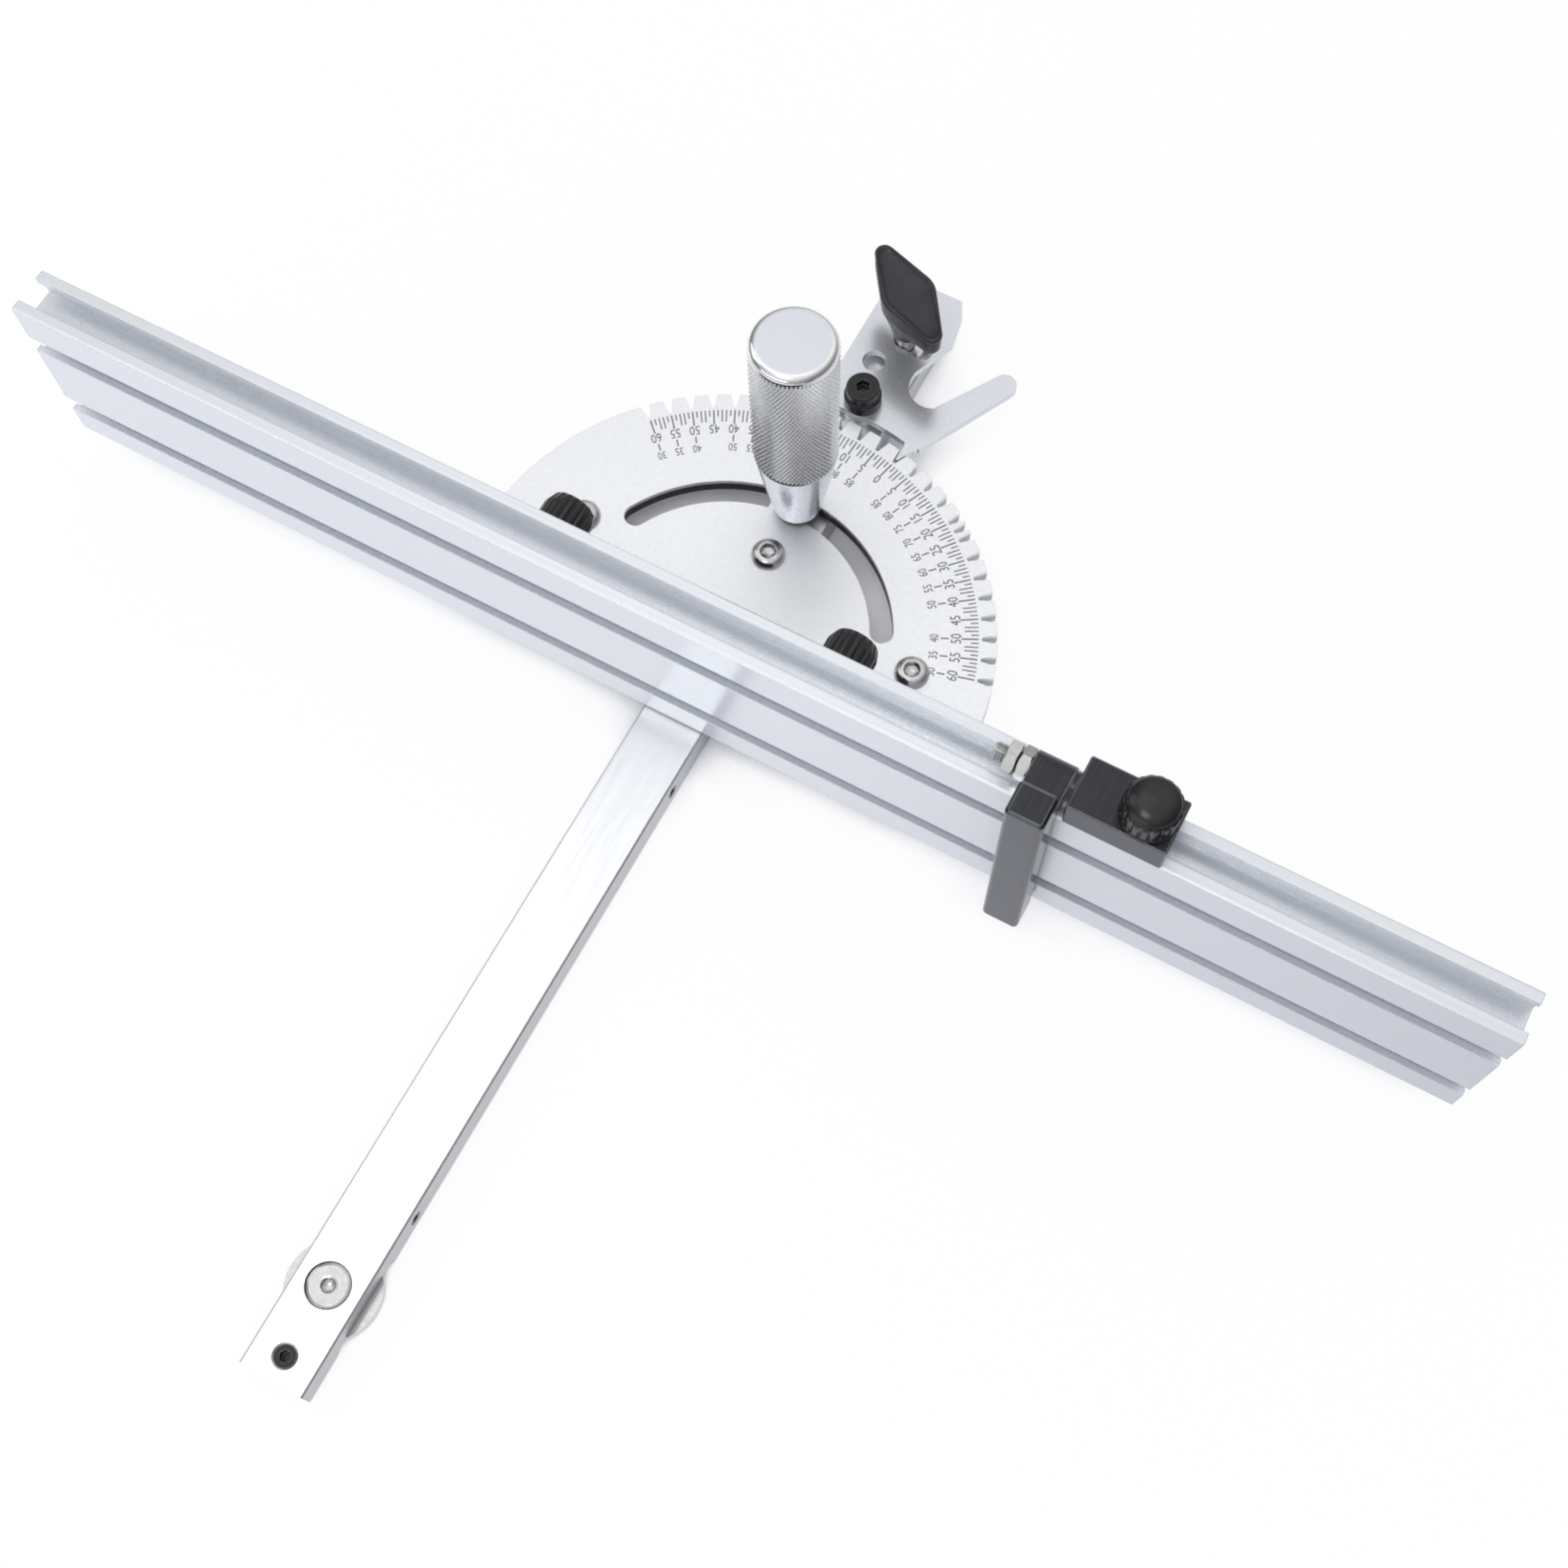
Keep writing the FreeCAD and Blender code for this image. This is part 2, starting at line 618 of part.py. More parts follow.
def index_pivot_screw():
    seat = scale_top + index_bush_height
    top = seat + index_head_height
    head = post(index_head_radius, 0, index_pivot_y, seat, top)
    head = head.makeChamfer(0.4, [e for e in head.Edges if e.CenterOfMass.z > top - 1e-3])
    shank = post(index_screw_radius, 0, index_pivot_y, 1, seat)
    socket = hexagon(4.0, V(0, index_pivot_y, top - 2.4), Z_AXIS, 3.4)
    return head.fuse(shank).cut(socket).removeSplitter()


def wing_knob():
    """A moulded wing knob: a round hub, a flare with flat sides and a rhombic blade on top."""
    seat = scale_top + wing_bottom_gap
    flare_bottom = seat + wing_hub_height
    blade_bottom = flare_bottom + wing_flare_height
    blade_top = blade_bottom + wing_blade_height
    crown_share = 1 - wing_edge / wing_half_width
    levels = ((wing_neck_share, flare_bottom), (1.0, blade_bottom), (1.0, blade_top - wing_edge),
              (crown_share, blade_top))
    rings = [blunt_rhombus(wing_half_length, wing_half_width, wing_round, share, z) for share, z in levels]
    stages = [flat_sided(lower, upper) for lower, upper in zip(rings, rings[1:])]
    knob = stages[0].fuse(stages[1:])
    knob = knob.fuse(post(wing_hub_radius, 0, 0, seat, flare_bottom + wing_hub_height / 2)).removeSplitter()
    knob = knob.cut(post(wing_stud_radius + fit, 0, 0, seat - 1, seat + wing_thread_depth))
    knob.rotate(V(0, 0, 0), Z_AXIS, wing_turn)
    knob.translate(V(wing_side, wing_y, 0))
    return knob


def wing_stud():
    top = scale_top + wing_bottom_gap + wing_thread_depth - 0.5
    return post(wing_stud_radius, wing_side, wing_y, 1, top)


def stop_carriage():
    half = carriage_width / 2
    x1 = carriage_left + carriage_length
    block = box(carriage_left, x1, fence_middle - half, fence_middle + half, carriage_bottom, carriage_top)
    block = block.makeChamfer(carriage_edge, block.Edges)
    key = channel_mouth / 2 - free_gap
    rib = box(carriage_left + 1, x1 - 1, fence_middle - key, fence_middle + key,
              fence_top - channel_lip / 2, carriage_bottom + 1)
    block = block.fuse(rib).removeSplitter()
    hole = post(stop_stud_radius + fit, stop_stud_x, fence_middle, fence_top - 3, carriage_top + 1)
    block = block.cut(hole)
    start = V(carriage_left - 1, fence_middle, axle_z)
    return block.cut(rod(axle_radius + fit, start, X_AXIS, axle_grip + 1))


def stop_t_nut():
    wide = channel_mouth / 2 + channel_undercut - free_gap
    top = fence_top - channel_lip - slide_gap
    nut = box(stop_stud_x - t_nut_length / 2, stop_stud_x + t_nut_length / 2, fence_middle - wide,
              fence_middle + wide, top - t_nut_thickness, top)
    hole = post(stop_stud_radius + fit, stop_stud_x, fence_middle, top - t_nut_thickness - 1, top + 1)
    return nut.cut(hole)


def stop_stud():
    bottom = fence_top - channel_lip - slide_gap - t_nut_thickness
    top = carriage_top + slide_gap + knob_bore_depth - 0.5
    return post(stop_stud_radius, stop_stud_x, fence_middle, bottom, top)


def stop_knob():
    return fluted_knob(V(stop_stud_x, fence_middle, carriage_top + slide_gap), Z_AXIS, stop_stud_radius)


def flip_arm():
    """The arm hangs in front of the fence and turns on a hub beside the carriage."""
    x1 = carriage_left - arm_carriage_gap
    x0 = x1 - arm_width
    rear = fence_front - arm_fence_gap
    front = rear - arm_depth
    foot = bar_top + arm_ground_gap
    top = fence_top + arm_rise
    bar = box(x0, x1, front, rear, foot, top)
    bar = bar.makeFillet(arm_edge, edges_along(bar, Z_AXIS))
    ends = [e for e in bar.Edges if e.BoundBox.ZMin > top - 1e-3 or e.BoundBox.ZMax < foot + 1e-3]
    bar = bar.makeChamfer(arm_end_edge, ends)
    hub = rod(hub_radius, V(x0, fence_middle, axle_z), X_AXIS, arm_width)
    neck = box(x0, x1, rear - arm_edge * 2, fence_middle, axle_z - hub_radius, axle_z + hub_radius)
    arm = bar.fuse([neck, hub]).removeSplitter()
    return arm.cut(rod(axle_radius + fit, V(x0 - 1, fence_middle, axle_z), X_AXIS, arm_width + 2))


def flip_axle():
    hub_left = carriage_left - arm_carriage_gap - arm_width
    start = hub_left - slide_gap - 2 * nut_thickness - free_gap - axle_overhang
    return rod(axle_radius, V(start, fence_middle, axle_z), X_AXIS, carriage_left + axle_grip - 1 - start)


def axle_nut(place):
    """Two nuts locked on the axle keep the arm on."""
    hub_left = carriage_left - arm_carriage_gap - arm_width
    step = nut_thickness + free_gap
    start = V(hub_left - slide_gap - nut_thickness - place * step, fence_middle, axle_z)
    corner = nut_flats / math.sqrt(3)
    rim = nut_flats / 2 * 0.96
    drop = (corner - rim) * math.tan(math.radians(30))
    blank = turned([(0, 0), (rim, 0), (corner, drop), (corner, nut_thickness - drop), (rim, nut_thickness),
                    (0, nut_thickness)], start, X_AXIS)
    nut = hexagon(nut_flats, start, X_AXIS, nut_thickness, 20 * place).common(blank)
    return nut.cut(rod(axle_radius + fit, start - X_AXIS, X_AXIS, nut_thickness + 2))


def axle_collar():
    """The spacing collar between the arm's hub and the carriage."""
    start = V(carriage_left - arm_carriage_gap + slide_gap / 2, fence_middle, axle_z)
    ring = rod(hub_radius - 0.6, start, X_AXIS, arm_carriage_gap - slide_gap)
    return ring.cut(rod(axle_radius + fit, start - X_AXIS, X_AXIS, arm_carriage_gap + 2))


def nodes():
    parts = {
        "miter_bar": miter_bar(), "keeper_washer": keeper_washer(), "keeper_screw": keeper_screw(),
        "levelling_set_screw": levelling_set_screw(), 
        "pivot_screw": pivot_screw(), "protractor_base": protractor_base(), "scale_plate": scale_plate(),
        "fence_extrusion": fence_extrusion(),
        "clamp_handle": clamp_handle(), "clamp_stud": clamp_stud(), "clamp_washer": clamp_washer(),
        "index_plate": index_plate(), "index_pivot_screw": index_pivot_screw(), "index_bush": index_bush(),
        "index_spacer": spacer(0, index_pivot_y, index_screw_radius),
        "wing_spacer": spacer(wing_side, wing_y, wing_stud_radius),
        "wing_knob": wing_knob(), "wing_stud": wing_stud(),
        "stop_carriage": stop_carriage(), "stop_t_nut": stop_t_nut(), "stop_stud": stop_stud(),
        "stop_knob": stop_knob(), "flip_arm": flip_arm(), "flip_axle": flip_axle(),
        "axle_collar": axle_collar(),
        "axle_nut_inner": axle_nut(0), "axle_nut_outer": axle_nut(1),
    }
    for name, inset in side_screw_insets.items():
        parts["side_set_screw_" + name] = side_set_screw(inset - bar_near)
    for name, (x, y) in plate_screw_places.items():
        parts["plate_screw_" + name] = plate_screw(x, y)
    for side, x in (("left", -fence_bolt_x), ("right", fence_bolt_x)):
        parts["fence_bolt_" + side] = fence_bolt(x)
        parts["fence_knob_" + side] = fence_knob(x)
    return parts


os.makedirs("parts", exist_ok=True)
for node, shape in nodes().items():
    shape.exportStep("parts/" + node + ".step")
    print(node, len(shape.Solids), round(shape.Volume, 1), shape.isValid())
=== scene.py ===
import math

import bpy
import numpy as np
from mathutils import Matrix, Vector


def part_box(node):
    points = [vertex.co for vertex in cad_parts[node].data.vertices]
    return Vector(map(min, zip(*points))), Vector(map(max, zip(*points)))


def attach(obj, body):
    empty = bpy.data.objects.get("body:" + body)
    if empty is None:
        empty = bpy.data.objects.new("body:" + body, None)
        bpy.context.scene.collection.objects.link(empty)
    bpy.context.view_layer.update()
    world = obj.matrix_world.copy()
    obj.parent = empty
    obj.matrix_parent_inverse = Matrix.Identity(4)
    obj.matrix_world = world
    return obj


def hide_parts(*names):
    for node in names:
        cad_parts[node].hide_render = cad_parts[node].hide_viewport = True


# A miter gauge: its finishes, and the fine forms that ride on the plain model.
# Lengths in this script are millimetres until a mesh is made; the scene is in metres.

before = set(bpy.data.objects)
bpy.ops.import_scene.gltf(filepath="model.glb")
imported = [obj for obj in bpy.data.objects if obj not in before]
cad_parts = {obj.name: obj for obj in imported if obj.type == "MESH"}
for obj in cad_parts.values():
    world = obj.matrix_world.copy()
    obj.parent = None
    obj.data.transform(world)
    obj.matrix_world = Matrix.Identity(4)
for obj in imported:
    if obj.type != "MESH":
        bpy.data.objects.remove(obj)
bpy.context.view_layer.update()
MM = 0.001


def node_box(node):
    """Lowest and highest corner of a node of the model, in millimetres."""
    low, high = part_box(node)
    return np.array(low) / MM, np.array(high) / MM


handle_low, handle_high = node_box("clamp_handle")
handle_y = (handle_low[1] + handle_high[1]) / 2
scale_top = node_box("scale_plate")[1][2]


# Node materials

def new_material(name):
    """An empty node material with its shader and the object coordinates of its patterns."""
    material = bpy.data.materials.new(name)
    material.use_nodes = True
    tree = material.node_tree
    shader = tree.nodes["Principled BSDF"]
    coords = tree.nodes.new("ShaderNodeTexCoord")
    return material, tree, shader, coords


def grain(tree, coords, per_metre, detail=4.0):
    """Noise with its own frequency along each axis, as drawn or brushed metal has it."""
    mapping = tree.nodes.new("ShaderNodeMapping")
    mapping.inputs["Scale"].default_value = per_metre
    noise = tree.nodes.new("ShaderNodeTexNoise")
    noise.inputs["Scale"].default_value = 1.0
    noise.inputs["Detail"].default_value = detail
    noise.inputs["Roughness"].default_value = 0.6
    tree.links.new(coords.outputs["Object"], mapping.inputs["Vector"])
    tree.links.new(mapping.outputs["Vector"], noise.inputs["Vector"])
    return noise.outputs["Fac"]


def spread(tree, value, low, high, start=0.3, end=0.7):
    """Maps one range of a value to another and clamps it; by default a noise's middle range."""
    node = tree.nodes.new("ShaderNodeMapRange")
    node.inputs["From Min"].default_value = start
    node.inputs["From Max"].default_value = end
    node.inputs["To Min"].default_value = low
    node.inputs["To Max"].default_value = high
    tree.links.new(value, node.inputs["Value"])
    return node.outputs["Result"]


def combine(tree, operation, first, second):
    """One number from two, each a socket or a plain number."""
    node = tree.nodes.new("ShaderNodeMath")
    node.operation = operation
    for socket, value in zip(node.inputs, (first, second)):
        if isinstance(value, (int, float)):
            socket.default_value = value
        else:
            tree.links.new(value, socket)
    return node.outputs[0]


def mix_colours(tree, factor, first, second):
    """A colour between two sockets, or a socket and a plain colour, by a factor from 0 to 1."""
    node = tree.nodes.new("ShaderNodeMix")
    node.data_type = "RGBA"
    for name, value in (("A", first), ("B", second)):
        if isinstance(value, tuple):
            node.inputs[name].default_value = (*value, 1.0)
        else:
            tree.links.new(value, node.inputs[name])
    tree.links.new(factor, node.inputs["Factor"])
    return node.outputs["Result"]


def facing(tree, coords, axis):
    """How squarely a face looks along an axis, either way, from 0 to 1."""
    split = tree.nodes.new("ShaderNodeSeparateXYZ")
    tree.links.new(coords.outputs["Normal"], split.inputs[0])
    return combine(tree, "ABSOLUTE", split.outputs[axis], 0.0)


def surface_relief(tree, shader, height, depth, edge):
    """A fine relief of a given depth in metres, on top of edges softened by a small radius."""
    bump = tree.nodes.new("ShaderNodeBump")
    bump.inputs["Distance"].default_value = depth
    tree.links.new(height, bump.inputs["Height"])
    if edge:
        soft = tree.nodes.new("ShaderNodeBevel")
        soft.samples = 6
        soft.inputs["Radius"].default_value = edge
        tree.links.new(soft.outputs["Normal"], bump.inputs["Normal"])
    tree.links.new(bump.outputs["Normal"], shader.inputs["Normal"])


def rubbed_edges(tree, colour, bare, width):
    """Paints a highlight: lightens a colour in a thin line along the edges, where the softened
    normal leaves the flat one, as if the edges caught the light."""
    # bare is the colour of this painted edge highlight, not of bare metal.
    soft = tree.nodes.new("ShaderNodeBevel")
    soft.samples = 6
    soft.inputs["Radius"].default_value = width
    flat = tree.nodes.new("ShaderNodeNewGeometry")
    agree = tree.nodes.new("ShaderNodeVectorMath")
    agree.operation = "DOT_PRODUCT"
    tree.links.new(soft.outputs["Normal"], agree.inputs[0])
    tree.links.new(flat.outputs["Normal"], agree.inputs[1])
    line = spread(tree, agree.outputs["Value"], 0.9, 0.0, 0.80, 0.985)
    return mix_colours(tree, line, colour, bare)


def dark_hollows(tree, colour, reach, depth):
    """Paints shade: darkens a colour in sockets, threads and grooves, where the surroundings close
    in and little light reaches.
    """
    shade = tree.nodes.new("ShaderNodeAmbientOcclusion")
    shade.samples = 6
    shade.inputs["Distance"].default_value = reach
    factor = spread(tree, shade.outputs["AO"], depth, 1.0, 0.25, 0.85)
    node = tree.nodes.new("ShaderNodeVectorMath")
    node.operation = "SCALE"
    tree.links.new(colour, node.inputs[0])
    tree.links.new(factor, node.inputs["Scale"])
    return node.outputs["Vector"]


def metal(name, pale, deep, rough, stretch, relief=1.5e-6, edge=2.5e-4, metallic=1.0,
          fine=(2500, 2500, 2500), edge_glint=None, hollows=None, top_only=False, sides=None):
    """Bare, plated or anodised metal: long streaks set its tone and gloss, a fine grain its relief.
    Its edges may carry a painted highlight, its hollows painted shade, its upright sides a painted
    lighter or darker tone for the light they catch, and its streaks kept to the faces that look up."""
    material, tree, shader, coords = new_material(name)
    streaks = spread(tree, grain(tree, coords, stretch), 0.0, 1.0)
    height = grain(tree, coords, fine, 2.0)
    if top_only:
        upward = facing(tree, coords, "Z")
        streaks = combine(tree, "MULTIPLY", streaks, upward)
        height = combine(tree, "MULTIPLY", height, upward)
    colour = mix_colours(tree, streaks, pale, deep)
    # Painted light: faces that look along the axis get another tone, lighter or darker as they
    # catch more or less light.
    if sides:
        axis, tone = sides
        upright = spread(tree, facing(tree, coords, axis), 0.0, 1.0, 0.4, 0.8)
        colour = mix_colours(tree, upright, colour, tone)
    # Painted highlight along the edges.
    if edge_glint:
        colour = rubbed_edges(tree, colour, *edge_glint)
    # Painted shade in the hollows.
    if hollows:
        colour = dark_hollows(tree, colour, *hollows)
    tree.links.new(colour, shader.inputs["Base Color"])
    tree.links.new(spread(tree, streaks, rough[0], rough[1], 0.0, 1.0), shader.inputs["Roughness"])
    shader.inputs["Metallic"].default_value = metallic
    surface_relief(tree, shader, height, relief, edge)
    return material


machined_rim = (0.0724, 0.0728)     # metres from the pivot: the coat ends, the metal is bare


def coated_head():
    """Black coat on the casting, worn through to bare metal on the machined rim."""
    material, tree, shader, coords = new_material("head_black_coat")
    speckle = spread(tree, grain(tree, coords, (500, 500, 500)), 0.0, 1.0)
    flat = tree.nodes.new("ShaderNodeMapping")
    flat.inputs["Scale"].default_value = (1, 1, 0)
    tree.links.new(coords.outputs["Object"], flat.inputs["Vector"])
    reach = tree.nodes.new("ShaderNodeVectorMath")
    reach.operation = "LENGTH"
    tree.links.new(flat.outputs["Vector"], reach.inputs[0])
    bare = spread(tree, reach.outputs["Value"], 0.0, 1.0, *machined_rim)
    coat = mix_colours(tree, speckle, (0.018, 0.018, 0.020), (0.010, 0.010, 0.012))
    machined = mix_colours(tree, speckle, (0.62, 0.63, 0.67), (0.52, 0.53, 0.57))
    tree.links.new(mix_colours(tree, bare, coat, machined), shader.inputs["Base Color"])
    tree.links.new(combine(tree, "MULTIPLY", bare, 0.6), shader.inputs["Metallic"])
    tree.links.new(spread(tree, speckle, 0.42, 0.55, 0.0, 1.0), shader.inputs["Roughness"])
    surface_relief(tree, shader, grain(tree, coords, (2500, 2500, 2500), 2.0), 2e-6, 2e-4)
    return material


def plastic(name, pale, deep, rough, edge=2.5e-4):
    """Moulded black plastic with a faint mottling and a soft orange-peel relief."""
    material, tree, shader, coords = new_material(name)
    mottle = spread(tree, grain(tree, coords, (260, 260, 260), 3.0), 0.0, 1.0)
    tree.links.new(mix_colours(tree, mottle, pale, deep), shader.inputs["Base Color"])
    tree.links.new(spread(tree, mottle, rough[0], rough[1], 0.0, 1.0), shader.inputs["Roughness"])
    surface_relief(tree, shader, grain(tree, coords, (1600, 1600, 1600), 2.0), 2e-6, edge)
    return material


# The bar's hollows get painted shade, and its upright X sides a darker painted shade.
bar_metal = metal("bar_frosted_steel", (0.93, 0.94, 0.95), (0.88, 0.89, 0.91), (0.36, 0.46),
                  (900, 60, 900), 4e-6, hollows=(0.002, 0.7), sides=("X", (0.56, 0.56, 0.59)))
# A white painted highlight runs along the scale plate's edges.
plate_metal = metal("scale_frosted_aluminium", (0.92, 0.93, 0.95), (0.87, 0.88, 0.91),
                    (0.38, 0.48), (900, 900, 900), 4e-6, 1.5e-4,
                    edge_glint=((1.0, 1.0, 1.0), 1.5e-4))
# A white painted highlight runs along the fence's edges and slot lips.
fence_metal = metal("fence_satin_anodised", (0.85, 0.88, 0.93), (0.79, 0.81, 0.86),
                    (0.22, 0.34), (4, 1700, 1700), 1.5e-6, 4e-4, 0.42, (30, 2200, 2200),
                    edge_glint=((1.0, 1.0, 1.0), 5e-4), top_only=True)
black_coat = coated_head()
# A pale painted highlight runs along the stop's edges, and its Y-facing sides get a bluish painted
# reflection.
black_anodised = metal("stop_black_anodised", (0.022, 0.022, 0.026), (0.006, 0.006, 0.008),
                       (0.16, 0.34), (1200, 70, 1200), 5e-6, 4e-4, 0.0, (2400, 120, 2400),
                       edge_glint=((0.75, 0.76, 0.8), 4.5e-4), top_only=True,
                       sides=("Y", (0.075, 0.08, 0.10)))
polished = metal("handle_polished_aluminium", (0.74, 0.76, 0.82), (0.71, 0.73, 0.79),
                 (0.24, 0.30), (1800, 1800, 60), 5e-7, 2e-4)
burnished = metal("handle_burnished_shoulder", (0.90, 0.90, 0.91), (0.84, 0.84, 0.86),
                  (0.07, 0.11), (600, 600, 600), 3e-7, 0.0)
# The knurl's grooves get painted shade.
knurled = metal("handle_knurled_grip", (0.97, 0.97, 0.98), (0.92, 0.92, 0.93), (0.22, 0.30),
                (900, 900, 900), 5e-7, 0.0, 0.9, hollows=(0.0005, 0.85))
# A white painted highlight runs along the index plate's edges.
zinc = metal("index_zinc_plating", (0.80, 0.82, 0.87), (0.72, 0.74, 0.79), (0.18, 0.28),
             (1400, 1400, 1400), 8e-7, 2e-4, 0.7, (1800, 1800, 1800),
             edge_glint=((1.0, 1.0, 1.0), 4e-4))
# Sockets, threads and grooves of the small steel parts get painted shade.
bright = metal("small_bright_steel", (0.64, 0.64, 0.64), (0.54, 0.54, 0.55), (0.14, 0.22),
               (600, 600, 600), 6e-7, 1e-4, hollows=(0.0015, 0.45))
# A grey painted highlight runs along the black screws' edges.
black_oxide = metal("screws_black_oxide", (0.020, 0.020, 0.020), (0.010, 0.010, 0.010),
                    (0.16, 0.26), (700, 700, 700), 1e-6, 3e-4, 0.2,
                    edge_glint=((0.4, 0.4, 0.4), 3e-4))
knob_plastic = plastic("knobs_black_plastic", (0.014, 0.014, 0.017), (0.008, 0.008, 0.010),
                       (0.18, 0.24))
wing_plastic = plastic("wing_knob_satin_plastic", (0.030, 0.030, 0.038),
                       (0.022, 0.022, 0.029), (0.34, 0.44))
marking = plastic("scale_dark_marking", (0.17, 0.17, 0.18), (0.12, 0.12, 0.13), (0.5, 0.6), 0.0)

black_sheen = 1.52                  # index of refraction of the two black metal finishes
black_sheen_tint = (0.88, 0.91, 1.0, 1.0)
for material in (black_anodised, black_oxide):
    shader = material.node_tree.nodes["Principled BSDF"]
    shader.inputs["IOR"].default_value = black_sheen
    shader.inputs["Specular Tint"].default_value = black_sheen_tint

node_finish = {
    "miter_bar": bar_metal, "scale_plate": plate_metal, "protractor_base": black_coat,
    "fence_extrusion": fence_metal, "clamp_handle": polished, "index_plate": zinc,
    "stop_carriage": black_anodised, "flip_arm": black_anodised,
    "axle_collar": black_anodised, "wing_knob": wing_plastic,
    "fence_knob_left": knob_plastic, "fence_knob_right": knob_plastic,
    "stop_knob": knob_plastic, "levelling_set_screw": black_oxide,
    "side_set_screw_near": black_oxide, "side_set_screw_far": black_oxide,
    "pivot_screw": black_oxide, "index_pivot_screw": black_oxide,
    "index_bush": black_oxide, "clamp_washer": black_oxide,
}
for node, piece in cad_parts.items():
    piece.data.materials.clear()
    piece.data.materials.append(node_finish.get(node, bright))


# Meshes from rings

def add_piece(name, points, faces, material, body, stands_for=(), smooth=True):
    """A mesh from points in millimetres that rides on a body of the model."""
    mesh = bpy.data.meshes.new(name)
    mesh.from_pydata((np.asarray(points) * MM).tolist(), [], faces)
    mesh.polygons.foreach_set("use_smooth", np.full(len(mesh.polygons), smooth))
    mesh.materials.append(material)
    mesh.update()
    piece = bpy.data.objects.new(name, mesh)
    bpy.context.scene.collection.objects.link(piece)
    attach(piece, body)
    if stands_for:
        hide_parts(*stands_for)
    return piece


def ring_body(rings):
    """Points and faces of a closed body: rings of equal count from bottom to top, each ring
    joined to the next by quads, the first and last ring closed by a fan about its mean point."""
    rows, columns = rings.shape[:2]
    points = np.vstack([rings.reshape(-1, 3), rings[0].mean(axis=0), rings[-1].mean(axis=0)])
    i, j = np.meshgrid(np.arange(rows - 1), np.arange(columns), indexing="ij")
    after = (j + 1) % columns
    quads = np.stack([i * columns + j, i * columns + after,
                      (i + 1) * columns + after, (i + 1) * columns + j], -1)
    j = np.arange(columns)
    after = (j + 1) % columns
    last = (rows - 1) * columns
    bottom = np.stack([np.full(columns, rows * columns), after, j], -1)
    top = np.stack([np.full(columns, rows * columns + 1), last + j, last + after], -1)
    return points, quads.reshape(-1, 4).tolist() + bottom.tolist() + top.tolist()


def along(rings, origin, axis):
    """Rings built about +Z, turned so that +Z becomes the axis, and moved to an origin."""
    turn = np.array(Vector((0, 0, 1)).rotation_difference(Vector(axis)).to_matrix())
    return rings @ turn.T + np.array(origin)


def turned_rings(profile, columns, sink):
    """A profile of (radius, height) rows carried round the axis; sink(angle, row) is taken off
    the radius."""
    radius, height = np.array(profile, float).T
    angle = np.linspace(0, 2 * math.pi, columns, endpoint=False)
    reach = np.repeat(radius[:, None], columns, axis=1)
    reach = reach - sink(angle[None, :], np.arange(len(radius))[:, None])
    level = np.repeat(height[:, None], columns, axis=1)
    return np.stack([reach * np.cos(angle), reach * np.sin(angle), level], -1)


def zigzag(value):
    """0 at whole numbers, 1 half way between them, straight in between."""
    return 1 - 2 * np.abs((value % 1.0) - 0.5)


# Clamp handle: polished cone, diamond knurl, rounded shoulder and flat turned end

cone_height = 31.9                  # the smooth cone and neck under the grip
end_height = 3.1                    # the shoulder and the flat end above it
grip_start, grip_end = handle_low[2] + cone_height, handle_high[2] - end_height
knurl_teeth = 67                    # round the grip
knurl_lead = 2.05                   # height of one diamond
knurl_depth = 0.60
tooth_steps = 4                     # grid steps in one tooth, both ways
grip_rows = int((grip_end - grip_start) / knurl_lead * tooth_steps)
shoulder_radius = 2.3
shoulder_middle = 9.6               # from the axis to the middle of the shoulder's bend


def handle_surface():
    """Radius and height along the handle; on the grip the radius drops by the deeper of two
    crossing spiral grooves, each a zigzag, which leaves a diamond point between them."""
    base, top = handle_low[2], handle_high[2]
    grip = (handle_high[0] - handle_low[0]) / 2
    lower = [(3.2, base), (5.5, base), (6.2, base + 0.2), (6.7, base + 0.6), (7.1, base + 1.3),
             (7.3, base + 2.2), (9.5, base + 15.2), (11.8, base + 30.6), (11.8, base + 31.1),
             (11.5, base + 31.5), (11.6, base + 31.7)]
    bend = np.linspace(0, math.pi / 2, 14)
    shoulder = [(shoulder_middle + shoulder_radius * math.cos(b),
                 top - shoulder_radius + shoulder_radius * math.sin(b)) for b in bend]
    profile = lower + [(grip, z) for z in np.linspace(grip_start, grip_end, grip_rows)]
    profile += [(grip - 0.25, grip_end + 0.2)] + shoulder + [(9.2, top), (6.0, top), (1.0, top)]
    first, last = len(lower), len(lower) + grip_rows

    def knurl(angle, row):
        """What the knurl takes off the radius, at an angle and a row of the profile."""
        up = (row - first) / tooth_steps
        right_hand = knurl_teeth * angle / (2 * math.pi) + up
        left_hand = knurl_teeth * angle / (2 * math.pi) - up
        depth = knurl_depth * (1 - np.minimum(zigzag(right_hand), zigzag(left_hand)))
        inside = (row >= first) & (row < last)
        return np.where(inside, depth, 0.0)

    rings = turned_rings(profile, knurl_teeth * tooth_steps, knurl)
    return along(rings, (0, handle_y, 0), (0, 0, 1)), first


def knurl_facets(faces, columns, first, rows):
    """Cuts the grip's quads along the creases of the knurl, which run by turns along one
    diagonal and the other, as a chessboard's squares alternate."""
    cut = []
    for number, face in enumerate(faces):
        row, column = divmod(number, columns)
        if len(face) < 4 or not first <= row < first + rows - 1:
            cut.append(face)
            continue
        a, b, c, d = face
        rising = (column - row + first) % 2 == 0
        cut += [[a, b, c], [a, c, d]] if rising else [[a, b, d], [b, c, d]]
    return cut


